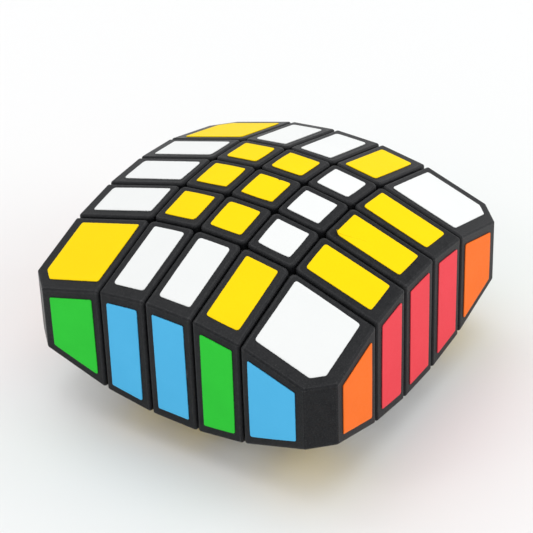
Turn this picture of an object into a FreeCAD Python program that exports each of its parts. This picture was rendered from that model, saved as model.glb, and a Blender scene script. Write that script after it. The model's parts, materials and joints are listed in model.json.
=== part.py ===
import FreeCAD, Part
import Sketcher
import os

# Five by five by one twisty puzzle with a facetted pillow shape.
#
# Millimetres. The origin is the centre of the core, +Z is up through the thickness, +X points to
# the right-hand side face and -Y to the front one. Rows run from front to back and columns from
# left to right. Every cubie is as thick as the puzzle, and each one is the meeting of one column
# and one row, so the layers can turn about X and about Y without touching each other.

DIMENSIONS = [
    # outer shape
    ("half_width", 38.0, "centre to a side face"),
    ("cell_pitch", 11.8, "width of the three middle layers"),
    ("crown_height", 23.2, "centre to the plastic of the middle facet"),
    ("inner_drop", 1.75, "fall from the crown to the second cut"),
    ("outer_drop", 8.45, "fall from the crown to a side face"),
    ("corner_cut", 5.0, "leg of the upright corner chamfer"),
    ("edge_round", 0.6, "radius of the edges of a cubie, but for the next ones"),
    ("corner_round", 1.3, "radius of the upright edges where four cubies meet"),
    ("layer_gap", 0.4, "play between two layers"),
    # stickers
    ("sticker_thickness", 0.2, "vinyl thickness"),
    ("sticker_margin", 2.0, "from a cut to a sticker"),
    ("sticker_rim", 2.7, "from a side face to a top sticker"),
    ("sticker_side_rim", 2.25, "from a facet's edge to a side sticker"),
    ("sticker_corner_rim", 2.0, "from the corner chamfer to a sticker"),
    ("sticker_round", 0.8, "corner radius of a sticker"),
    # feet that hold the cubies together
    ("foot_reach", 19.4, "half width of the block that holds all the feet"),
    ("foot_height", 17.0, "half height of the same block"),
    ("outer_foot", 9.6, "start of the outer layers' inner disc"),
    ("outer_foot_radius", 15.0, "radius of that disc"),
    ("outer_step", 13.4, "start of the outer layers' second disc"),
    ("outer_step_radius", 19.4, "radius of that disc"),
    ("inner_foot", 3.6, "start of the inner layers' disc"),
    ("inner_foot_radius", 13.5, "radius of that disc"),
    # core, screws, springs and caps
    ("post_radius", 2.3, "arm of the core"),
    ("post_length", 15.0, "centre to the end of an arm"),
    ("post_play", 0.1, "radial play of a cubie on its arm"),
    ("peg_radius", 1.9, "upright peg of the core"),
    ("peg_height", 9.0, "centre to the end of a peg"),
    ("fit_play", 0.05, "radial play of a push fit"),
    ("screw_radius", 1.45, "screw shank"),
    ("screw_start", 8.0, "centre to the tip of a screw"),
    ("screw_seat", 27.0, "centre to the underside of a screw head"),
    ("head_radius", 3.0, "screw head"),
    ("head_height", 2.0, "screw head"),
    ("slot_width", 0.9, "cross recess in the head"),
    ("slot_length", 3.8, "cross recess in the head"),
    ("slot_depth", 1.2, "cross recess in the head"),
    ("shank_room", 0.2, "radial play of the screw in its cubie"),
    ("pocket_floor", 17.4, "centre to the floor of the spring pocket"),
    ("pocket_radius", 3.8, "spring pocket"),
    ("washer_radius", 3.4, "washer under the spring"),
    ("washer_height", 0.5, "washer thickness"),
    ("washer_lift", 0.3, "running gap under the washer"),
    ("wire_radius", 0.3, "spring wire"),
    ("coil_radius", 2.7, "centre line of the spring"),
    ("coil_count", 6.0, "turns of the spring"),
    ("cap_depth", 4.0, "side cap, along its axle"),
    ("cap_wall", 1.2, "side cap, face and skirt"),
    ("overshoot", 1.0, "how far a tool passes the face that it cuts"),
    ("reach", 70.0, "past everything, for slabs that cut"),
]

DIRECTIONS = {"right": 0, "back": 1, "left": 2, "front": 3}
ROW_NAMES = ["front", "inner_front", "middle", "inner_back", "back"]
COLUMN_NAMES = ["left", "inner_left", "middle", "inner_right", "right"]
MIDDLE = 2
LAYERS = range(5)
UPWARDS = FreeCAD.Vector(0, 0, 1)

doc = FreeCAD.newDocument("pillow_puzzle")
sheet = doc.addObject("Spreadsheet::Sheet", "Dims")
VALUES = {}
for line, (alias, number, meaning) in enumerate(DIMENSIONS, start=1):
    sheet.set(f"A{line}", meaning)
    sheet.set(f"B{line}", str(number))
    sheet.setAlias(f"B{line}", alias)
doc.recompute()
for alias, number, meaning in DIMENSIONS:
    VALUES[alias] = float(sheet.get(alias))

# Expressions that are used in many places.
FIRST_CUT = "0.5 * Dims.cell_pitch"
SECOND_CUT = "1.5 * Dims.cell_pitch"
HALF_GAP = "0.5 * Dims.layer_gap"
nodes = {}


def make(kind, label, links=None, **expressions):
    """One document object, its links, and its sizes bound to the sheet.

    A double underscore in a name stands for a dot, as in Placement__Base__x.
    """
    thing = doc.addObject(kind, label)
    thing.Label = label
    for name, value in (links or {}).items():
        setattr(thing, name, value)
    for name, expression in expressions.items():
        thing.setExpression(name.replace("__", "."), expression)
    return thing


def unit(direction):
    """Unit vector of one of the four side directions."""
    quarter = DIRECTIONS[direction]
    return FreeCAD.Vector((1, 0, -1, 0)[quarter], (0, 1, 0, -1)[quarter], 0)


def place_along(thing, direction, start):
    """Puts a cylinder-like object on the axis of one direction, from start outwards."""
    way = unit(direction)
    thing.Placement = FreeCAD.Placement(
        FreeCAD.Vector(0, 0, 0), FreeCAD.Rotation(FreeCAD.Vector(0, 0, 1), way))
    for name, share in (("x", way.x), ("y", way.y)):
        if share:
            thing.setExpression(f"Placement.Base.{name}", f"{int(share)} * ({start})")
    return thing


def rod(label, direction, start, end, radius):
    """A cylinder on the axis of one direction."""
    cylinder = make("Part::Cylinder", label, Radius=radius, Height=f"({end}) - ({start})")
    return place_along(cylinder, direction, start)


def fuse(label, shapes):
    return make("Part::MultiFuse", label, {"Shapes": shapes})


def cut(label, base, tool):
    return make("Part::Cut", label, {"Base": base, "Tool": tool})


def common(label, base, tool):
    return make("Part::Common", label, {"Base": base, "Tool": tool})


def group(label, shapes):
    return make("Part::Compound", label, {"Links": shapes})


def is_along(edge, way):
    """Whether a straight edge runs along a direction."""
    run = edge.Vertexes[-1].Point - edge.Vertexes[0].Point
    return run.Length > 0 and abs(run.normalize().dot(way)) > 0.999


def fillet(label, base, radius_of):
    """Rounds the edges of an object, each by the radius that radius_of gives it, if any."""
    doc.recompute()
    radii = [(n, radius_of(edge)) for n, edge in enumerate(base.Shape.Edges, start=1)]
    rounded = make("Part::Fillet", label, {"Base": base})
    rounded.Edges = [(number, radius, radius) for number, radius in radii if radius]
    return rounded


def cubie_radius(edge):
    """The upright edges where four cubies meet are rounder than the others."""
    middle = edge.CenterOfMass
    outside = max(abs(middle.x), abs(middle.y)) > VALUES["half_width"] - VALUES["corner_round"]
    if is_along(edge, UPWARDS) and not outside:
        return VALUES["corner_round"]
    return VALUES["edge_round"]


def box(label, low, high):
    """A box between two corners, each given as three expressions."""
    sizes = [f"({b}) - ({a})" for a, b in zip(low, high)]
    return make(
        "Part::Box", label, Length=sizes[0], Width=sizes[1], Height=sizes[2],
        Placement__Base__x=low[0], Placement__Base__y=low[1], Placement__Base__z=low[2])


def fall(distance):
    """How far the pillow's surface has fallen at a distance from its middle plane."""
    first = 0.5 * VALUES["cell_pitch"]
    second = 1.5 * VALUES["cell_pitch"]
    if distance <= first:
        return 0.0
    if distance <= second:
        return VALUES["inner_drop"] * (distance - first) / (second - first)
    share = (distance - second) / (VALUES["half_width"] - second)
    return VALUES["inner_drop"] + share * (VALUES["outer_drop"] - VALUES["inner_drop"])


def facetted_pillow(label, grow):
    """The closed outer shape, with one flat facet for each cubie above and below.

    The surface falls by fall(x) + fall(y) from the crown, so each cell is a plane that slopes
    both ways. It has no primitive or sketch feature, so its faces are made one by one.
    """
    first = 0.5 * VALUES["cell_pitch"]
    second = 1.5 * VALUES["cell_pitch"]
    half = VALUES["half_width"]
    outline = [-half - grow, -second, -first, first, second, half + grow]
    slope = (fall(half) - fall(second)) / (half - second)

    def height(x, y):
        past = slope * (max(abs(x) - half, 0) + max(abs(y) - half, 0))
        inside = fall(min(abs(x), half)) + fall(min(abs(y), half))
        return VALUES["crown_height"] + grow - inside - past

    def corner(x, y, side):
        return FreeCAD.Vector(x, y, side * height(x, y))

    def face(points):
        return Part.Face(Part.makePolygon(points + points[:1]))

    faces = []
    for side in (1, -1):
        for x0, x1 in zip(outline, outline[1:]):
            for y0, y1 in zip(outline, outline[1:]):
                ring = [(x0, y0), (x1, y0), (x1, y1), (x0, y1)]
                faces.append(face([corner(x, y, side) for x, y in ring]))
    for wall in (outline[0], outline[-1]):
        across = [corner(wall, y, 1) for y in outline] + [corner(wall, y, -1) for y in outline[::-1]]
        along = [corner(x, wall, 1) for x in outline] + [corner(x, wall, -1) for x in outline[::-1]]
        faces += [face(across), face(along)]
    solid = Part.Solid(Part.Shell(faces))
    if solid.Volume < 0:
        solid.reverse()
    pillow = doc.addObject("Part::Feature", label)
    pillow.Label = label
    pillow.Shape = solid
    return pillow


def upright_square(label, reach):
    """A square prism turned by 45 degrees, whose faces stand at x + y = reach."""
    side = f"({reach}) * sqrt(2)"
    square = make("Part::Box", label, Length=side, Width=side, Height="2 * Dims.reach",
                  Placement__Base__y=f"-({reach})", Placement__Base__z="-Dims.reach")
    square.Placement.Rotation = FreeCAD.Rotation(FreeCAD.Vector(0, 0, 1), 45)
    return square


def stepped_plug(label, direction, steps, play):
    """Everything past a stepped boundary that is round about one direction's axis.

    steps holds a start and a radius for each disc. A positive play draws the boundary back, for
    the layer itself, and a negative one pushes it out, for the room that the layer needs.
    """
    discs = []
    for number, (start, radius) in enumerate(steps):
        disc = rod(f"{label}_disc_{number}", direction, f"{start} + {play}", "Dims.reach",
                   f"{radius} - {play}")
        discs.append(disc)
    return fuse(label, discs)


def layer_solids():
    """The five column solids and the five row solids."""
    outer_steps = [(SECOND_CUT, "Dims.reach"), ("Dims.outer_step", "Dims.outer_step_radius"),
                   ("Dims.outer_foot", "Dims.outer_foot_radius")]
    inner_steps = [(FIRST_CUT, "Dims.reach"), ("Dims.inner_foot", "Dims.inner_foot_radius")]
    near = HALF_GAP
    far = f"-({HALF_GAP})"
    outer, inner, inner_room = {}, {}, {}
    for direction in DIRECTIONS:
        outer[direction] = stepped_plug(f"outer_layer_{direction}", direction, outer_steps, near)
        outer_room = stepped_plug(f"outer_room_{direction}", direction, outer_steps, far)
        inner_plug = stepped_plug(f"inner_plug_{direction}", direction, inner_steps, near)
        inner_room[direction] = stepped_plug(f"inner_room_{direction}", direction, inner_steps, far)
        inner[direction] = cut(f"inner_layer_{direction}", inner_plug, outer_room)
    stacks = []
    for name, low, high in (("column", "left", "right"), ("row", "front", "back")):
        whole = box(f"middle_{name}_block", ["-Dims.reach"] * 3, ["Dims.reach"] * 3)
        rooms = fuse(f"middle_{name}_rooms", [inner_room[low], inner_room[high]])
        middle = cut(f"middle_{name}", whole, rooms)
        stacks.append([outer[low], inner[low], middle, inner[high], outer[high]])
    return stacks


def cell_span(number):
    """Two expressions for the plastic's extent in one of the five layers."""
    edges = ["-(Dims.half_width + Dims.overshoot)", f"-({SECOND_CUT})", f"-({FIRST_CUT})",
             FIRST_CUT, SECOND_CUT, "Dims.half_width + Dims.overshoot"]
    low = edges[number] if number == 0 else f"{edges[number]} + {HALF_GAP}"
    high = edges[number + 1] if number == 4 else f"{edges[number + 1]} - {HALF_GAP}"
    return low, high


def sticker_span(number):
    """Two expressions for a top sticker's extent in one of the five layers."""
    rim = "Dims.half_width - Dims.sticker_rim"
    edges = [f"-({rim})", f"-({SECOND_CUT})", f"-({FIRST_CUT})", FIRST_CUT, SECOND_CUT, rim]
    low = edges[number] if number == 0 else f"{edges[number]} + Dims.sticker_margin"
    high = edges[number + 1] if number == 4 else f"{edges[number + 1]} - Dims.sticker_margin"
    return low, high


def axle_room(direction):
    """The bore for an arm, the hole for the screw and the pocket for the spring."""
    arm = rod(f"arm_bore_{direction}", direction, "0", "Dims.post_length + Dims.washer_lift",
              "Dims.post_radius + Dims.post_play")
    hole = rod(f"screw_hole_{direction}", direction, "Dims.post_length",
               "Dims.pocket_floor + Dims.overshoot", "Dims.screw_radius + Dims.shank_room")
    pocket = rod(f"spring_pocket_{direction}", direction, "Dims.pocket_floor",
                 "Dims.half_width + Dims.overshoot", "Dims.pocket_radius")
    return fuse(f"axle_room_{direction}", [arm, hole, pocket])


def axle_of(row, column):
    """The side whose arm and screw pass through a cubie, or None."""
    if row == MIDDLE and column != MIDDLE:
        return "right" if column > MIDDLE else "left"
    if column == MIDDLE and row != MIDDLE:
        return "back" if row > MIDDLE else "front"
    return None


def cubie_shapes():
    """The 24 turning cubies and the middle one, before the middle one is split."""
    columns, rows = layer_solids()
    facets = facetted_pillow("pillow_facets", 0.0)
    corners = upright_square("corner_planes", "2 * Dims.half_width - Dims.corner_cut")
    pillow = common("pillow", facets, corners)
    feet = box("feet_block", ["-Dims.foot_reach", "-Dims.foot_reach", "-Dims.foot_height"],
               ["Dims.foot_reach", "Dims.foot_reach", "Dims.foot_height"])
    rooms = {direction: axle_room(direction) for direction in DIRECTIONS}
    cubies = {}
    for row in LAYERS:
        for column in LAYERS:
            place = f"{ROW_NAMES[row]}_{COLUMN_NAMES[column]}"
            x_span, y_span = cell_span(column), cell_span(row)
            cell = box(f"cell_{place}", [x_span[0], y_span[0], "-Dims.reach"],
                       [x_span[1], y_span[1], "Dims.reach"])
            sharp = common(f"sharp_{place}", pillow, cell)
            block = fillet(f"block_{place}", sharp, cubie_radius)
            stem = fuse(f"stem_{place}", [block, feet])
            column_part = common(f"column_part_{place}", stem, columns[column])
            name = f"cubie_{place}"
            axle = axle_of(row, column)
            if axle:
                undrilled = common(f"undrilled_{place}", column_part, rows[row])
                cubies[row, column] = cut(name, undrilled, rooms[axle])
            else:
                cubies[row, column] = common(name, column_part, rows[row])
    return facets, cubies


def split_middle(whole):
    """The middle cubie as two halves that push onto the core's upright peg."""
    rooms = [rod(f"core_groove_{direction}", direction, "0", "Dims.post_length",
                 "Dims.post_radius + Dims.fit_play") for direction in DIRECTIONS]
    rooms.append(upright_peg("peg_bore", "Dims.peg_radius + Dims.fit_play",
                             "Dims.peg_height + Dims.washer_lift"))
    hollow = cut("middle_hollow", whole, fuse("core_room", rooms))
    side = "Dims.half_width"
    above = box("above_the_middle", [f"-{side}", f"-{side}", "0.5 * Dims.fit_play"], [side] * 3)
    below = box("below_the_middle", [f"-{side}"] * 3, [side, side, "-0.5 * Dims.fit_play"])
    nodes["middle_top"] = common("middle_top", hollow, above)
    nodes["middle_bottom"] = common("middle_bottom", hollow, below)


def upright_peg(label, radius, reach):
    return make("Part::Cylinder", label, Radius=radius, Height=f"2 * ({reach})",
                Placement__Base__z=f"-({reach})")


def core_spider():
    """Four arms and an upright peg, with a pilot hole for a screw in each arm."""
    arms = [rod(f"arm_{direction}", direction, "0", "Dims.post_length", "Dims.post_radius")
            for direction in DIRECTIONS]
    solid = fuse("core_solid", arms + [upright_peg("core_peg", "Dims.peg_radius", "Dims.peg_height")])
    holes = [rod(f"pilot_{direction}", direction, "Dims.screw_start - Dims.washer_lift",
                 "Dims.post_length + Dims.overshoot", "Dims.screw_radius + Dims.fit_play")
             for direction in DIRECTIONS]
    nodes["core_spider"] = cut("core_spider", solid, fuse("pilots", holes))


def side_box(label, direction, start, end, width, height):
    """A box centred on the axis of one direction."""
    quarter = DIRECTIONS[direction]
    half = f"0.5 * ({width})"
    base_x = (f"({start})", half, f"-({start})", f"-{half}")[quarter]
    base_y = (f"-{half}", f"({start})", half, f"-({start})")[quarter]
    block = make("Part::Box", label, Length=f"({end}) - ({start})", Width=width, Height=height,
                 Placement__Base__x=base_x, Placement__Base__y=base_y,
                 Placement__Base__z=f"-0.5 * ({height})")
    block.Placement.Rotation = FreeCAD.Rotation(FreeCAD.Vector(0, 0, 1), 90 * quarter)
    return block


def axle_screws():
    """A cross-head screw in each arm, which holds a spring against the outer cubie."""
    screws = []
    head_end = "Dims.screw_seat + Dims.head_height"
    for direction in DIRECTIONS:
        shank = rod(f"shank_{direction}", direction, "Dims.screw_start", "Dims.screw_seat",
                    "Dims.screw_radius")
        head = rod(f"head_{direction}", direction, "Dims.screw_seat", head_end, "Dims.head_radius")
        slot_floor = f"{head_end} - Dims.slot_depth"
        slot_end = f"{head_end} + Dims.overshoot"
        flat = side_box(f"flat_slot_{direction}", direction, slot_floor, slot_end,
                        "Dims.slot_length", "Dims.slot_width")
        upright = side_box(f"upright_slot_{direction}", direction, slot_floor, slot_end,
                           "Dims.slot_width", "Dims.slot_length")
        whole = fuse(f"whole_screw_{direction}", [shank, head])
        recess = fuse(f"cross_recess_{direction}", [flat, upright])
        screws.append(cut(f"screw_{direction}", whole, recess))
    nodes["axle_screws"] = group("axle_screws", screws)


def spring_washers():
    """A flat washer between each spring and the floor of its pocket."""
    washers = []
    low = "Dims.pocket_floor + Dims.washer_lift"
    high = f"{low} + Dims.washer_height"
    for direction in DIRECTIONS:
        disc = rod(f"washer_disc_{direction}", direction, low, high, "Dims.washer_radius")
        hole = rod(f"washer_hole_{direction}", direction, f"{low} - Dims.overshoot",
                   f"{high} + Dims.overshoot", "Dims.screw_radius + Dims.shank_room")
        washers.append(cut(f"washer_{direction}", disc, hole))
    nodes["spring_washers"] = group("spring_washers", washers)


def body_plane(body, role):
    """One of a body's own origin planes."""
    return next(item for item in body.Origin.OriginFeatures if item.Role == role)


def circle_sketch(body, label, plane, centre_x, radius):
    """A circle on one of the body's own planes, with its centre on the sketch's X axis."""
    sketch = body.newObject("Sketcher::SketchObject", label)
    sketch.AttachmentSupport = [(body_plane(body, plane), "")]
    sketch.MapMode = "FlatFace"
    sketch.addGeometry(Part.Circle(FreeCAD.Vector(0, 0, 0), FreeCAD.Vector(0, 0, 1), 1.0), False)
    sketch.addConstraint(Sketcher.Constraint("Radius", 0, 1.0))
    sketch.renameConstraint(0, "ring")
    sketch.setExpression("Constraints.ring", radius)
    if centre_x:
        sketch.addConstraint(Sketcher.Constraint("DistanceX", -1, 1, 0, 3, 1.0))
        sketch.renameConstraint(1, "offset")
        sketch.setExpression("Constraints.offset", centre_x)
        sketch.addConstraint(Sketcher.Constraint("PointOnObject", 0, 3, -1))
    else:
        sketch.addConstraint(Sketcher.Constraint("Coincident", 0, 3, -1, 1))
    return sketch


def coil_springs():
    """A helical spring between each washer and its screw head."""
    springs = []
    base = "Dims.pocket_floor + Dims.washer_lift + Dims.washer_height + Dims.wire_radius"
    for direction in DIRECTIONS:
        body = make("PartDesign::Body", f"spring_{direction}")
        wire = circle_sketch(body, f"spring_wire_{direction}", "XZ_Plane", "Dims.coil_radius",
                             "Dims.wire_radius")
        coil = body.newObject("PartDesign::AdditiveHelix", f"spring_coil_{direction}")
        coil.Profile = wire
        coil.ReferenceAxis = (wire, ["V_Axis"])
        coil.Mode = "height-turns-angle"
        coil.setExpression("Height", f"Dims.screw_seat - Dims.wire_radius - ({base})")
        coil.setExpression("Turns", "Dims.coil_count")
        body.Tip = coil
        place_along(body, direction, base)
        springs.append(body)
    nodes["springs"] = group("springs", springs)


def side_caps():
    """A cup-shaped plug that closes each spring pocket, flush with the side face."""
    for direction in DIRECTIONS:
        label = f"axle_cap_{direction}"
        body = make("PartDesign::Body", label)
        outer = "Dims.pocket_radius - Dims.fit_play"
        disc = circle_sketch(body, f"cap_outline_{direction}", "XY_Plane", None, outer)
        pad = body.newObject("PartDesign::Pad", f"cap_disc_{direction}")
        pad.Profile = disc
        pad.setExpression("Length", "Dims.cap_depth")
        ring = circle_sketch(body, f"cap_inside_{direction}", "XY_Plane", None,
                             f"{outer} - Dims.cap_wall")
        pocket = body.newObject("PartDesign::Pocket", f"cap_hollow_{direction}")
        pocket.Profile = ring
        pocket.Reversed = True
        pocket.setExpression("Length", "Dims.cap_depth - Dims.cap_wall")
        body.Tip = pocket
        place_along(body, direction, "Dims.half_width - Dims.cap_depth")
        nodes[label] = body


def fall_expression(distance, outer):
    """fall() as an expression, in the inner or the outer cell."""
    if outer:
        rise = "(Dims.outer_drop - Dims.inner_drop)"
        share = f"(({distance}) - {SECOND_CUT}) / (Dims.half_width - {SECOND_CUT})"
        return f"Dims.inner_drop + {rise} * {share}"
    return f"Dims.inner_drop * (({distance}) - {FIRST_CUT}) / Dims.cell_pitch"


def side_sticker_bar(direction, number, place):
    """A bar through one side face, with the outline of that face's sticker.

    number counts the cells of the face along its own horizontal axis. The bar is a trapezoid,
    because the facets above and below slope towards the corners.
    """
    edge = "Dims.half_width - Dims.corner_cut - Dims.sticker_corner_rim"
    stations = {
        0: (f"-({edge})", f"-({SECOND_CUT} + Dims.sticker_margin)"),
        1: (f"-({SECOND_CUT} - Dims.sticker_margin)", f"-({FIRST_CUT} + Dims.sticker_margin)"),
        2: (f"-({FIRST_CUT} - Dims.sticker_margin)", f"{FIRST_CUT} - Dims.sticker_margin"),
        3: (f"{FIRST_CUT} + Dims.sticker_margin", f"{SECOND_CUT} - Dims.sticker_margin"),
        4: (f"{SECOND_CUT} + Dims.sticker_margin", edge),
    }
    low, high = stations[number]
    top = "Dims.crown_height - Dims.outer_drop - Dims.sticker_side_rim"
    heights = [top, top]
    if number != MIDDLE:
        sign = "-" if number < MIDDLE else ""
        outer = number in (0, 4)
        heights = [f"{top} - ({fall_expression(f'{sign}({u})', outer)})" for u in (low, high)]
    bar = make(
        "Part::Wedge", f"side_bar_{direction}_{place}",
        Xmax="Dims.half_width + Dims.overshoot", Xmin="Dims.half_width - Dims.overshoot",
        X2max="Dims.half_width + Dims.overshoot", X2min="Dims.half_width - Dims.overshoot",
        Ymax=high, Ymin=low,
        Zmax=heights[0], Zmin=f"-({heights[0]})", Z2max=heights[1], Z2min=f"-({heights[1]})")
    bar.Placement.Rotation = FreeCAD.Rotation(FreeCAD.Vector(0, 0, 1), 90 * DIRECTIONS[direction])
    way = unit(direction)
    return fillet(f"round_bar_{direction}_{place}", bar,
                  lambda edge: VALUES["sticker_round"] if is_along(edge, way) else None)


def sides_of(row, column):
    """The side faces that a cubie has, each with its cell number on that face."""
    sides = []
    if row == 0:
        sides.append(("front", column))
    if row == 4:
        sides.append(("back", 4 - column))
    if column == 4:
        sides.append(("right", row))
    if column == 0:
        sides.append(("left", 4 - row))
    return sides


def sticker_sets(facets):
    """Each cubie's stickers: one above, one below and one on each side face."""
    outer_skin = facetted_pillow("sticker_surface", VALUES["sticker_thickness"])
    skin = cut("sticker_skin", outer_skin, facets)
    corner_reach = "2 * Dims.half_width - Dims.corner_cut - sqrt(2) * Dims.sticker_corner_rim"
    corners = upright_square("sticker_corner_planes", corner_reach)
    for row in LAYERS:
        for column in LAYERS:
            place = f"{ROW_NAMES[row]}_{COLUMN_NAMES[column]}"
            x_span, y_span = sticker_span(column), sticker_span(row)
            prism = box(f"sticker_prism_{place}", [x_span[0], y_span[0], "-Dims.reach"],
                        [x_span[1], y_span[1], "Dims.reach"])
            if row in (0, 4) and column in (0, 4):
                prism = common(f"cut_prism_{place}", prism, corners)
            prism = fillet(f"round_prism_{place}", prism,
                           lambda edge: VALUES["sticker_round"] if is_along(edge, UPWARDS) else None)
            tools = [prism]
            for direction, number in sides_of(row, column):
                tools.append(side_sticker_bar(direction, number, place))
            tool = fuse(f"sticker_tools_{place}", tools) if len(tools) > 1 else prism
            label = f"stickers_{place}"
            nodes[label] = common(label, tool, skin)


facets, cubies = cubie_shapes()
for (row, column), cubie in cubies.items():
    if (row, column) == (MIDDLE, MIDDLE):
        split_middle(cubie)
    else:
        nodes[cubie.Label] = cubie
core_spider()
axle_screws()
spring_washers()
coil_springs()
side_caps()
sticker_sets(facets)
doc.recompute()

for thing in doc.Objects:
    if "Invalid" in thing.State or "Error" in thing.State:
        raise RuntimeError(f"{thing.Label} failed: {thing.State}")
for name, thing in nodes.items():
    if thing.Shape.isNull() or not thing.Shape.isValid():
        raise RuntimeError(f"{name} has no valid shape")
os.makedirs("parts", exist_ok=True)
for name, thing in nodes.items():
    thing.Shape.exportStep(f"parts/{name}.step")
    print(f"{name}: {len(thing.Shape.Solids)} solids, {thing.Shape.Volume:.2f} mm3")
print(len(nodes), "nodes")
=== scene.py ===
"""Looks of a pillow-shaped five by five by one twisty puzzle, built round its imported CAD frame.

Every CAD sticker is replaced by a vinyl piece of its own, cut a little unevenly, because each
one has its own colour. The plastic and the mechanism keep their CAD meshes.
"""
import json
import math
import random

import bmesh
import bpy
from mathutils import Euler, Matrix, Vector
from mathutils.geometry import convex_hull_2d

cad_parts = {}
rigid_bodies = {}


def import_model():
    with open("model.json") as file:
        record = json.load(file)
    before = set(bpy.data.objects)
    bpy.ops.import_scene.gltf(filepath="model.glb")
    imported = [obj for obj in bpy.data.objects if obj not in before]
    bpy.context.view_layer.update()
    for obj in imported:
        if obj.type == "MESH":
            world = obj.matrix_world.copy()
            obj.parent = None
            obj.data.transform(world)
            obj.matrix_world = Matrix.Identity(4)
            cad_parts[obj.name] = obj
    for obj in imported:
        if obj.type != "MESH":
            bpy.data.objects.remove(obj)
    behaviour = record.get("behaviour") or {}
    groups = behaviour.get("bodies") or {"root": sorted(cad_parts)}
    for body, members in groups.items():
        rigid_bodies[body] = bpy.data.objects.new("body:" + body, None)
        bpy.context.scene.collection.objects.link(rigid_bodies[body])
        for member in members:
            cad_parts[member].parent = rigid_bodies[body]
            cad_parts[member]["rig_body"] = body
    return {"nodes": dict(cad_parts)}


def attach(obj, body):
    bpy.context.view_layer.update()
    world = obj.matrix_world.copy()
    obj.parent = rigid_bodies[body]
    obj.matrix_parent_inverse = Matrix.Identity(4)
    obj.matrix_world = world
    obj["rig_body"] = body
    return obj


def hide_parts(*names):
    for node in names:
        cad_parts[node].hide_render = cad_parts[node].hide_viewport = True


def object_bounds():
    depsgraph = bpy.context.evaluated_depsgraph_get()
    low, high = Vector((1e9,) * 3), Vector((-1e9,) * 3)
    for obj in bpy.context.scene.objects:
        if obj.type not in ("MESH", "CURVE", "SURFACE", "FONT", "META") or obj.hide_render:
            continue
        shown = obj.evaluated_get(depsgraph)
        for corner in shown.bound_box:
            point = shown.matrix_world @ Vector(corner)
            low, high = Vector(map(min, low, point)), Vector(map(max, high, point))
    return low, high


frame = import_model()
cad_low, cad_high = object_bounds()

MM = 0.001
ROWS = ["front", "inner_front", "middle", "inner_back", "back"]
COLUMNS = ["left", "inner_left", "middle", "inner_right", "right"]
LAST = 4

# One letter for each cubie. Rows of the top run from front to back.
TOP = ["YWWYW", "WYYWY", "WYYWY", "WYYWY", "YWWYW"]
FRONT = "GBBGB"
RIGHT = "ORRRO"
# Half turns from the solved state put the other colour of each pair on the far side.
OPPOSITE = {"Y": "W", "W": "Y", "G": "B", "B": "G", "R": "O", "O": "R"}

FACINGS = {"top": (0, 0, 1), "bottom": (0, 0, -1), "right": (1, 0, 0), "left": (-1, 0, 0),
           "back": (0, 1, 0), "front": (0, -1, 0)}


# ---------------------------------------------------------------- materials

# Colours of the black plastic, from the bottom of its mottling to its rubbed edges, whose lighter
# colour is partly rubbed wear and partly a painted highlight.
PLASTIC_DEEP = (0.0060, 0.0067, 0.0082)
PLASTIC_LIGHT = (0.0138, 0.0143, 0.0158)
PLASTIC_GRAIN = (0.0200, 0.0205, 0.0218)
PLASTIC_SPECK = (0.120, 0.121, 0.123)
# painted highlight lines along the edges, mixed with rubbed wear
PLASTIC_WEAR_AND_HIGHLIGHT = (0.075, 0.075, 0.078)
PLASTIC_GLOSS = 0.115
GRAIN_SIZE = 0.32 * MM
MOTTLE_SIZE = 2.2 * MM
FLOW_SIZE = 12 * MM
WEAR_AND_HIGHLIGHT_PATCH_SIZE = 0.9 * MM
WEAR_AND_HIGHLIGHT_REACH = 1.2 * MM              # how far the rubbing and its painted highlight spread from an edge
WEAR_AND_HIGHLIGHT_FULL, WEAR_AND_HIGHLIGHT_NONE = 0.955, 0.982  # agreement of the bevelled and the true normal
BEVEL_SAMPLES = 12
GRAIN_HEIGHT = 0.05 * MM
FLOW_HEIGHT = 0.10 * MM

VINYL_GLOSS = 0.06
CLOUD_SIZE = 9 * MM
FLECK_SIZE = 0.5 * MM
PEEL_SIZE, PEEL_HEIGHT = 0.9 * MM, 0.010 * MM
WAVE_SIZE, WAVE_HEIGHT = 6 * MM, 0.05 * MM

STEEL_DULL, STEEL_BRIGHT = (0.50, 0.51, 0.53), (0.68, 0.68, 0.67)
STEEL_CLOUD_SIZE = 1.2 * MM
TURNING_SIZE, TURNING_HEIGHT = 0.12 * MM, 0.01 * MM
ACETAL_DULL, ACETAL_BRIGHT = (0.50, 0.51, 0.52), (0.60, 0.60, 0.60)
ACETAL_CLOUD_SIZE = 2.5 * MM
ACETAL_GRAIN_SIZE, ACETAL_GRAIN_HEIGHT = 0.2 * MM, 0.02 * MM
PAPER_DULL, PAPER_BRIGHT = (0.758, 0.762, 0.763), (0.770, 0.773, 0.774)
PAPER_CLOUD_SIZE = 200 * MM
PAPER_ROUGHNESS, PAPER_GLOSS = 0.85, 0.15


def node_material(name):
    """A node material with only a shader and its output, its node tree and the shader."""
    material = bpy.data.materials.new(name)
    material.use_nodes = True
    tree = material.node_tree
    tree.nodes.clear()
    output = tree.nodes.new("ShaderNodeOutputMaterial")
    shader = tree.nodes.new("ShaderNodeBsdfPrincipled")
    tree.links.new(shader.outputs["BSDF"], output.inputs["Surface"])
    return material, tree, shader


def object_coordinates(tree):
    """The place on the object, in metres."""
    return tree.nodes.new("ShaderNodeTexCoord").outputs["Object"]


def noise(tree, vector, size, detail=2.0, roughness=0.5):
    """Noise whose features are about size metres across."""
    node = tree.nodes.new("ShaderNodeTexNoise")
    node.inputs["Scale"].default_value = 1.0 / size
    node.inputs["Detail"].default_value = detail
    node.inputs["Roughness"].default_value = roughness
    tree.links.new(vector, node.inputs["Vector"])
    return node.outputs["Fac"]


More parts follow.
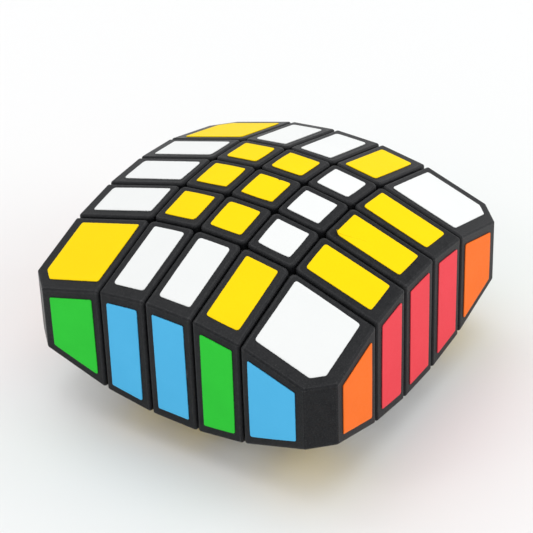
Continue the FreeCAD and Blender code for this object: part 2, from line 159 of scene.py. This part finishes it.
def remap(tree, value, low, high, to_low, to_high):
    """Stretches the range from low to high onto that from to_low to to_high, and clamps it."""
    node = tree.nodes.new("ShaderNodeMapRange")
    for name, number in (("From Min", low), ("From Max", high), ("To Min", to_low),
                         ("To Max", to_high)):
        node.inputs[name].default_value = number
    tree.links.new(value, node.inputs["Value"])
    return node.outputs["Result"]


def mix_colour(tree, factor, first, second):
    """Blend of two colours. Either one is a fixed colour or another node's output."""
    node = tree.nodes.new("ShaderNodeMix")
    node.data_type = "RGBA"
    tree.links.new(factor, node.inputs["Factor"])
    for socket, colour in ((node.inputs[6], first), (node.inputs[7], second)):
        if isinstance(colour, tuple):
            socket.default_value = (*colour, 1.0)
        else:
            tree.links.new(colour, socket)
    return node.outputs[2]


def bump(tree, shader, layers):
    """Stacks bump layers, each a height output, a height in metres and a strength."""
    normal = None
    for height, distance, strength in layers:
        node = tree.nodes.new("ShaderNodeBump")
        node.inputs["Distance"].default_value = distance
        node.inputs["Strength"].default_value = strength
        tree.links.new(height, node.inputs["Height"])
        if normal:
            tree.links.new(normal, node.inputs["Normal"])
        normal = node.outputs["Normal"]
    tree.links.new(normal, shader.inputs["Normal"])


def edge_wear_and_highlight_mask(tree, radius, full, none):
    """Mask of rubbing and painted edge highlight: 1 on edges and corners, 0 on the flats, and
    between them within radius of a bend.
    """
    bevel = tree.nodes.new("ShaderNodeBevel")
    bevel.samples = BEVEL_SAMPLES
    bevel.inputs["Radius"].default_value = radius
    geometry = tree.nodes.new("ShaderNodeNewGeometry")
    dot = tree.nodes.new("ShaderNodeVectorMath")
    dot.operation = "DOT_PRODUCT"
    tree.links.new(bevel.outputs["Normal"], dot.inputs[0])
    tree.links.new(geometry.outputs["Normal"], dot.inputs[1])
    return remap(tree, dot.outputs["Value"], none, full, 0.0, 1.0)


def black_plastic():
    """Moulded black plastic: a fine spark-eroded grain, faint mottling and rubbed edges,
    lightened partly for wear and partly as a painted highlight.
    """
    material, tree, shader = node_material("black_plastic")
    place = object_coordinates(tree)
    grain = noise(tree, place, GRAIN_SIZE, detail=3.0, roughness=0.7)
    mottle = noise(tree, place, MOTTLE_SIZE, detail=4.0, roughness=0.65)
    flow = noise(tree, place, FLOW_SIZE, detail=1.0)
    light = remap(tree, mottle, 0.32, 0.68, 0.0, 1.0)
    base = mix_colour(tree, light, PLASTIC_DEEP, PLASTIC_LIGHT)
    base = mix_colour(tree, remap(tree, grain, 0.44, 0.66, 0.0, 1.0), base, PLASTIC_GRAIN)
    specks = remap(tree, grain, 0.68, 0.80, 0.0, 0.8)
    base = mix_colour(tree, specks, base, PLASTIC_SPECK)
    # lighter edges in patches: partly rubbed wear, partly a painted highlight along the fillets
    edge_wear_and_highlight = edge_wear_and_highlight_mask(tree, WEAR_AND_HIGHLIGHT_REACH, WEAR_AND_HIGHLIGHT_FULL, WEAR_AND_HIGHLIGHT_NONE)
    patches = noise(tree, place, WEAR_AND_HIGHLIGHT_PATCH_SIZE, detail=3.0, roughness=0.7)
    patchy = remap(tree, patches, 0.36, 0.66, 0.15, 0.95)
    share = tree.nodes.new("ShaderNodeMath")
    share.operation = "MULTIPLY"
    tree.links.new(edge_wear_and_highlight, share.inputs[0])
    tree.links.new(patchy, share.inputs[1])
    base = mix_colour(tree, share.outputs["Value"], base, PLASTIC_WEAR_AND_HIGHLIGHT)
    tree.links.new(base, shader.inputs["Base Color"])
    tree.links.new(remap(tree, mottle, 0.25, 0.75, 0.30, 0.44), shader.inputs["Roughness"])
    shader.inputs["Specular IOR Level"].default_value = PLASTIC_GLOSS
    bump(tree, shader, [(grain, GRAIN_HEIGHT, 0.85), (flow, FLOW_HEIGHT, 0.10)])
    return material


def vinyl(name, colour, deep):
    """Satin vinyl film: an even colour that barely varies, with a soft orange-peel surface."""
    material, tree, shader = node_material(name)
    place = object_coordinates(tree)
    cloud = noise(tree, place, CLOUD_SIZE, detail=2.0)
    fleck = noise(tree, place, FLECK_SIZE, detail=3.0)
    tone = mix_colour(tree, remap(tree, cloud, 0.3, 0.7, 0.0, 0.5), colour, deep)
    tone = mix_colour(tree, remap(tree, fleck, 0.55, 0.8, 0.0, 0.25), tone, deep)
    tree.links.new(tone, shader.inputs["Base Color"])
    tree.links.new(remap(tree, fleck, 0.3, 0.7, 0.46, 0.56), shader.inputs["Roughness"])
    shader.inputs["Specular IOR Level"].default_value = VINYL_GLOSS
    peel = noise(tree, place, PEEL_SIZE, detail=1.0)
    wave = noise(tree, place, WAVE_SIZE, detail=1.0)
    bump(tree, shader, [(peel, PEEL_HEIGHT, 0.35), (wave, WAVE_HEIGHT, 0.25)])
    return material


def plated_steel():
    """Bright zinc plating with fine turning marks and a slightly uneven gloss."""
    material, tree, shader = node_material("plated_steel")
    place = object_coordinates(tree)
    cloud = noise(tree, place, STEEL_CLOUD_SIZE, detail=3.0)
    marks = noise(tree, place, TURNING_SIZE, detail=2.0)
    base = mix_colour(tree, cloud, STEEL_DULL, STEEL_BRIGHT)
    tree.links.new(base, shader.inputs["Base Color"])
    shader.inputs["Metallic"].default_value = 1.0
    tree.links.new(remap(tree, cloud, 0.3, 0.7, 0.22, 0.38), shader.inputs["Roughness"])
    bump(tree, shader, [(marks, TURNING_HEIGHT, 0.4)])
    return material


def core_plastic():
    """Natural grey acetal of the hidden core, a little waxy."""
    material, tree, shader = node_material("core_plastic")
    place = object_coordinates(tree)
    cloud = noise(tree, place, ACETAL_CLOUD_SIZE, detail=3.0)
    grain = noise(tree, place, ACETAL_GRAIN_SIZE, detail=2.0)
    base = mix_colour(tree, cloud, ACETAL_DULL, ACETAL_BRIGHT)
    tree.links.new(base, shader.inputs["Base Color"])
    tree.links.new(remap(tree, cloud, 0.3, 0.7, 0.35, 0.48), shader.inputs["Roughness"])
    bump(tree, shader, [(grain, ACETAL_GRAIN_HEIGHT, 0.3)])
    return material


def studio_paper():
    """Plain white seamless paper."""
    material, tree, shader = node_material("studio_paper")
    place = object_coordinates(tree)
    cloud = noise(tree, place, PAPER_CLOUD_SIZE, detail=1.0)
    base = mix_colour(tree, cloud, PAPER_DULL, PAPER_BRIGHT)
    tree.links.new(base, shader.inputs["Base Color"])
    shader.inputs["Roughness"].default_value = PAPER_ROUGHNESS
    shader.inputs["Specular IOR Level"].default_value = PAPER_GLOSS
    return material


BLACK = black_plastic()
STEEL = plated_steel()
CORE = core_plastic()
VINYL = {
    "Y": vinyl("vinyl_yellow", (0.880, 0.625, 0.001), (0.850, 0.590, 0.001)),
    "W": vinyl("vinyl_white", (0.745, 0.758, 0.754), (0.722, 0.735, 0.734)),
    "G": vinyl("vinyl_green", (0.032, 0.620, 0.045), (0.026, 0.540, 0.038)),
    "B": vinyl("vinyl_blue", (0.090, 0.500, 0.850), (0.075, 0.460, 0.800)),
    "R": vinyl("vinyl_red", (0.800, 0.062, 0.082), (0.750, 0.054, 0.072)),
    "O": vinyl("vinyl_orange", (0.900, 0.172, 0.022), (0.860, 0.155, 0.018)),
}


# ---------------------------------------------------------------- stickers

STICKER_WANDER = 0.12 * MM        # how far a sticker is off its place
STICKER_TURN = math.radians(0.6)  # and how far it is turned
# Smallest and largest corner radius: on the facets of outer cubies, on their side faces, and on
# the nine inner cubies.
EDGE_RADII = (0.45 * MM, 1.05 * MM)
SIDE_RADII = (0.25 * MM, 0.60 * MM)
INNER_RADII = (0.28 * MM, 0.95 * MM)
EDGE_BELLY = (0.0, 0.05 * MM)     # how far the sides of outer cubies' stickers belly out
INNER_BELLY = (-0.02 * MM, 0.12 * MM)
CUT_WAVE = 0.020 * MM             # unevenness of the cut edges
NICK_DEPTH = (0.12 * MM, 0.26 * MM)
NICK_HALF_WIDTH = 0.45 * MM
NICK_SHARE = 0.45                 # how many of the inner stickers have a nick
SHORTEST_SIDE = 1.2 * MM          # shorter stretches of an outline are parts of a round corner
STRAIGHT = 0.9995                 # how well two stretches line up that are one side
MERGE_REACH = 0.001 * MM
THIN = 0.5 * MM                   # thicker than a sticker, thinner than it is wide
FACING_SHARE = 0.7                # how well a sticker's outer face looks its way
PLANE_DEPTH = 0.01 * MM
EDGE_STEP = 0.3 * MM              # spacing of an outline's points along a side
ARC_STEPS = 7                     # and how many steps a round corner has
REACH_SHARE = 0.4                 # how much of a side one corner's arc may take
# Profile of the film from its outline inwards: inset and depth, both below the top surface.
FILM_EDGE = [(0.0, 0.060 * MM), (0.012 * MM, 0.022 * MM), (0.055 * MM, 0.0)]
INNER_RINGS = [0.93, 0.84, 0.72, 0.56, 0.36, 0.16]
LIFTED = "sticker_top_middle_right"  # its inner front corner has come unstuck
LIFT_HEIGHT = 1.20 * MM
LIFT_REACH = 1.3 * MM             # how far from the corner the film leaves the plastic
LIFT_CURL = 2.6                   # power law of its rise
LIFTED_RADIUS = 0.08 * MM
STICKER_SEED = 5


def loose_parts(mesh):
    """Normal, area and corners of each face, for each separate solid in a mesh."""
    work = bmesh.new()
    work.from_mesh(mesh)
    bmesh.ops.remove_doubles(work, verts=work.verts, dist=MERGE_REACH)
    left = set(work.verts)
    parts = []
    while left:
        stack = [left.pop()]
        found = set(stack)
        while stack:
            for edge in stack.pop().link_edges:
                for vertex in edge.verts:
                    if vertex not in found:
                        found.add(vertex)
                        stack.append(vertex)
        left -= found
        faces = {face for vertex in found for face in vertex.link_faces}
        parts.append([(face.normal.copy(), face.calc_area(), [v.co.copy() for v in face.verts])
                      for face in faces])
    work.free()
    return parts


def facing_of(part):
    """Which way a sticker looks, from the direction in which it is thinnest."""
    points = [point for _, _, corners in part for point in corners]
    sizes = [max(p[axis] for p in points) - min(p[axis] for p in points) for axis in range(3)]
    middle = sum(points, Vector()) / len(points)
    if sizes[0] < THIN:
        return "right" if middle.x > 0 else "left"
    if sizes[1] < THIN:
        return "back" if middle.y > 0 else "front"
    return "top" if middle.z > 0 else "bottom"


def outer_plane(part, facing):
    """A sticker's outer face: its middle, two directions, normal, thickness and points."""
    way = Vector(FACINGS[facing])
    outer = [face for face in part if face[0].dot(way) > FACING_SHARE]
    normal = sum((face_normal * area for face_normal, area, _ in outer), Vector()).normalized()
    points = [point for _, _, corners in part for point in corners]
    top = max(point.dot(normal) for point in points)
    depth = top - min(point.dot(normal) for point in points)
    face_points = [point for _, _, corners in outer for point in corners
                   if top - point.dot(normal) < PLANE_DEPTH]
    across = Vector((0, 1, 0)) if facing in ("left", "right") else Vector((1, 0, 0))
    u = (across - across.dot(normal) * normal).normalized()
    v = normal.cross(u)
    middle = sum(face_points, Vector()) / len(face_points)
    return middle, u, v, normal, depth, face_points


def sharp_corners(points):
    """The corners that an outline of straight sides would have without its round corners."""
    hull = [points[index] for index in convex_hull_2d(points)]
    sides = []
    for start, end in zip(hull, hull[1:] + hull[:1]):
        way = (end - start).normalized()
        if sides and (end - start).length > 0 and sides[-1][2].dot(way) > STRAIGHT:
            sides[-1] = (sides[-1][0], end, way)
        else:
            sides.append((start, end, way))
    if sides[-1][2].dot(sides[0][2]) > STRAIGHT:
        last = sides.pop()
        sides[0] = (last[0], sides[0][1], sides[0][2])
    sides = [side for side in sides if (side[1] - side[0]).length > SHORTEST_SIDE]
    corners = []
    for before, after in zip(sides[-1:] + sides[:-1], sides):
        corners.append(line_meeting(before, after))
    return corners


def line_meeting(first, second):
    """Where the lines of two sides meet."""
    p, r = first[0], first[2]
    q, s = second[0], second[2]
    cross = r.x * s.y - r.y * s.x
    along = ((q.x - p.x) * s.y - (q.y - p.y) * s.x) / cross
    return p + r * along


def cut_outline(corners, dice, radii, belly, sharp=None):
    """A closed outline with round corners, each of its own radius, and bellied sides.

    The corner whose number is sharp, if there is one, is hardly rounded.
    """
    count = len(corners)
    arcs = []
    for index, here in enumerate(corners):
        before, after = corners[index - 1], corners[(index + 1) % count]
        to_before, to_after = before - here, after - here
        opening = to_before.angle(to_after)
        radius = dice.uniform(*radii)
        if index == sharp:
            radius = LIFTED_RADIUS
        reach = min(radius / math.tan(opening / 2), REACH_SHARE * to_before.length,
                    REACH_SHARE * to_after.length)
        arcs.append((here + to_before.normalized() * reach, here,
                     here + to_after.normalized() * reach))
    outline = []
    for index, (start, here, end) in enumerate(arcs):
        for step in range(ARC_STEPS + 1):
            t = step / ARC_STEPS
            outline.append(start * (1 - t) ** 2 + here * 2 * t * (1 - t) + end * t ** 2)
        run = arcs[(index + 1) % count][0] - end
        outward = Vector((run.y, -run.x)).normalized()
        rise = dice.uniform(*belly)
        steps = max(2, int(run.length / EDGE_STEP))
        for step in range(1, steps):
            t = step / steps
            outline.append(end + run * t + outward * rise * 4 * t * (1 - t))
    return outline


def nicked(outline, normals, dice):
    """The outline with one small nick in it, where the blade slipped."""
    where = outline[dice.randrange(len(outline))]
    depth = dice.uniform(*NICK_DEPTH)
    cut = []
    for point, normal in zip(outline, normals):
        share = max(0.0, 1.0 - (point - where).length / NICK_HALF_WIDTH)
        cut.append(point + normal * depth * share)
    return cut


def inward_normals(outline):
    """Unit vectors that point into a counter-clockwise outline, one for each point."""
    normals = []
    for index, point in enumerate(outline):
        run = (outline[(index + 1) % len(outline)] - outline[index - 1]).normalized()
        normals.append(Vector((-run.y, run.x)))
    return normals


def laid_corners(corners, dice):
    """The corners of an outline that is laid by hand, a little turned and off its place."""
    turn = dice.uniform(-STICKER_TURN, STICKER_TURN)
    shift = Vector((dice.uniform(-STICKER_WANDER, STICKER_WANDER),
                    dice.uniform(-STICKER_WANDER, STICKER_WANDER)))
    laid = []
    for corner in corners:
        x = corner.x * math.cos(turn) - corner.y * math.sin(turn)
        y = corner.x * math.sin(turn) + corner.y * math.cos(turn)
        laid.append(Vector((x, y)) + shift)
    return laid


def film_rings(outline, normals, depth, centre, follow_below):
    """Rings of points with their depths, from the underside over the edge to the middle.

    The underside is one flat face unless follow_below is set, when it has rings of its own.
    """
    rings = []
    if follow_below:
        for share in reversed(INNER_RINGS):
            rings.append([(centre + (p - centre) * share, depth) for p in outline])
    rings.append([(p, depth) for p in outline])
    for inset, sink in FILM_EDGE:
        rings.append([(p + n * inset, sink) for p, n in zip(outline, normals)])
    inner = [p for p, _ in rings[-1]]
    for share in INNER_RINGS:
        rings.append([(centre + (p - centre) * share, 0.0) for p in inner])
    return rings


def film_mesh(name, loops, hub_place):
    """A closed mesh from loops of points in space, with a fan round a hub on top."""
    work = bmesh.new()
    loops = [[work.verts.new(place) for place in loop] for loop in loops]
    hub = work.verts.new(hub_place)
    count = len(loops[0])
    for lower, upper in zip(loops, loops[1:]):
        for index in range(count):
            following = (index + 1) % count
            work.faces.new((lower[index], lower[following], upper[following], upper[index]))
    for index in range(count):
        work.faces.new((loops[-1][index], loops[-1][(index + 1) % count], hub))
    work.faces.new(loops[0][::-1])
    bmesh.ops.recalc_face_normals(work, faces=work.faces)
    mesh = bpy.data.meshes.new(name)
    work.to_mesh(mesh)
    work.free()
    for polygon in mesh.polygons:
        polygon.use_smooth = len(polygon.vertices) < 5  # all but the large face below
    return mesh


def sticker_piece(name, part, facing, letter, radii, belly, nick, dice):
    """One vinyl sticker, laid on the plane of the CAD sticker that it stands for."""
    middle, u, v, normal, depth, face_points = outer_plane(part, facing)
    flat = [Vector(((p - middle).dot(u), (p - middle).dot(v))) for p in face_points]
    corners = laid_corners(sharp_corners(flat), dice)
    sharp = None
    if name == LIFTED:
        sharp = min(range(len(corners)), key=lambda index: corners[index].x + corners[index].y)
    outline = cut_outline(corners, dice, radii, belly, sharp)
    normals = inward_normals(outline)
    if nick:
        outline = nicked(outline, normals, dice)
    wave = [dice.uniform(-CUT_WAVE, CUT_WAVE) for _ in outline]
    outline = [p + n * w for p, n, w in zip(outline, normals, wave)]
    centre = sum(outline, Vector((0, 0))) / len(outline)

    def raised(point):
        """How high the film stands off the plastic."""
        if sharp is None:
            return 0.0
        share = max(0.0, 1.0 - (point - corners[sharp]).length / LIFT_REACH)
        return LIFT_HEIGHT * share ** LIFT_CURL

    loops = []
    for ring in film_rings(outline, normals, depth, centre, sharp is not None):
        loops.append([middle + u * p.x + v * p.y + normal * (raised(p) - sink)
                      for p, sink in ring])
    mesh = film_mesh(name, loops, middle + u * centre.x + v * centre.y)
    piece = bpy.data.objects.new(name, mesh)
    bpy.context.scene.collection.objects.link(piece)
    mesh.materials.append(VINYL[letter])
    return piece


def letter_of(facing, row, column):
    """The colour letter of one sticker."""
    if facing == "top":
        return TOP[row][column]
    if facing == "bottom":
        return OPPOSITE[TOP[row][column]]
    if facing in ("front", "back"):
        letter = FRONT[column]
        return letter if facing == "front" else OPPOSITE[letter]
    letter = RIGHT[row]
    return letter if facing == "right" else OPPOSITE[letter]


def make_stickers():
    """Replaces the sticker nodes of all the cubies, one vinyl piece for each sticker."""
    dice = random.Random(STICKER_SEED)
    for row, row_name in enumerate(ROWS):
        for column, column_name in enumerate(COLUMNS):
            place = f"{row_name}_{column_name}"
            node = f"stickers_{place}"
            source = frame["nodes"][node]
            parts = {facing_of(part): part for part in loose_parts(source.data)}
            for facing in sorted(parts):
                letter = letter_of(facing, row, column)
                name = f"sticker_{facing}_{place}"
                inner = 0 < row < LAST and 0 < column < LAST
                radii, belly = EDGE_RADII, EDGE_BELLY
                if inner:
                    radii, belly = INNER_RADII, INNER_BELLY
                elif facing not in ("top", "bottom"):
                    radii = SIDE_RADII
                nick = inner and dice.random() < NICK_SHARE
                piece = sticker_piece(name, parts[facing], facing, letter, radii, belly, nick,
                                      dice)
                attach(piece, source["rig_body"])
                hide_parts(node)


# ---------------------------------------------------------------- CAD nodes

def dress_frame():
    """Materials for the CAD meshes that stay: the cubies, the caps and the mechanism."""
    for name, node in frame["nodes"].items():
        if name.startswith("stickers_"):
            continue
        material = BLACK
        if name == "core_spider":
            material = CORE
        if name in ("axle_screws", "spring_washers", "springs"):
            material = STEEL
        node.data.materials.clear()
        node.data.materials.append(material)


# ---------------------------------------------------------------- studio

CAMERA_PLACE = Vector((231.85, -342.73, 308.33)) * MM
CAMERA_TURN = (53.49, 1.64, 32.94)
CAMERA_LENS = 158.4
FLOOR_HALF = 3.0
FLOOR_CLEARANCE = 0.02 * MM
AIR_LIGHT = 0.84
LAMP_TARGET = Vector((0.0, 0.0, 0.0))
# Name, place and width in metres, and watts. All of them are white.
LAMPS = [
    ("softbox_above", (0.0, 0.0, 1.6), 1.6, 7.8),
    ("softbox_left", (-0.6, 0.2, 1.0), 0.9, 1.8),
    ("softbox_right", (1.15, 0.40, 0.45), 0.9, 3.7),
    ("highlight_front", (-0.55, -0.75, 0.80), 0.30, 0.7),
    ("highlight_back", (0.85, 0.95, 0.55), 0.30, 1.2),
]


def add_floor():
    """A wide sheet of paper just below the puzzle."""
    work = bmesh.new()
    bmesh.ops.create_grid(work, x_segments=8, y_segments=8, size=FLOOR_HALF)
    mesh = bpy.data.meshes.new("floor")
    work.to_mesh(mesh)
    work.free()
    floor = bpy.data.objects.new("floor", mesh)
    floor.location.z = cad_low.z - FLOOR_CLEARANCE
    mesh.materials.append(studio_paper())
    bpy.context.scene.collection.objects.link(floor)


def add_lamp(name, place, width, power):
    """A round area lamp that looks at the centre of the puzzle."""
    data = bpy.data.lights.new(name, "AREA")
    data.shape = "DISK"
    data.size = width
    data.energy = power
    lamp = bpy.data.objects.new(name, data)
    lamp.location = place
    lamp.rotation_euler = (LAMP_TARGET - Vector(place)).to_track_quat("-Z", "Y").to_euler()
    bpy.context.scene.collection.objects.link(lamp)


def add_lights():
    """The lamps, and white light from all round."""
    for name, place, width, power in LAMPS:
        add_lamp(name, place, width, power)
    world = bpy.data.worlds.new("studio")
    world.use_nodes = True
    background = world.node_tree.nodes["Background"]
    background.inputs["Color"].default_value = (1.0, 1.0, 1.0, 1.0)
    background.inputs["Strength"].default_value = AIR_LIGHT
    bpy.context.scene.world = world


def add_camera():
    """A long lens from above the front right."""
    data = bpy.data.cameras.new("camera")
    data.lens = CAMERA_LENS
    data.sensor_width = 36.0
    data.clip_start = 0.01
    camera = bpy.data.objects.new("camera", data)
    camera.location = CAMERA_PLACE
    camera.rotation_euler = Euler([math.radians(angle) for angle in CAMERA_TURN])
    bpy.context.scene.collection.objects.link(camera)
    bpy.context.scene.camera = camera


dress_frame()
make_stickers()
add_floor()
add_lights()
add_camera()
bpy.context.scene.view_settings.view_transform = "Standard"
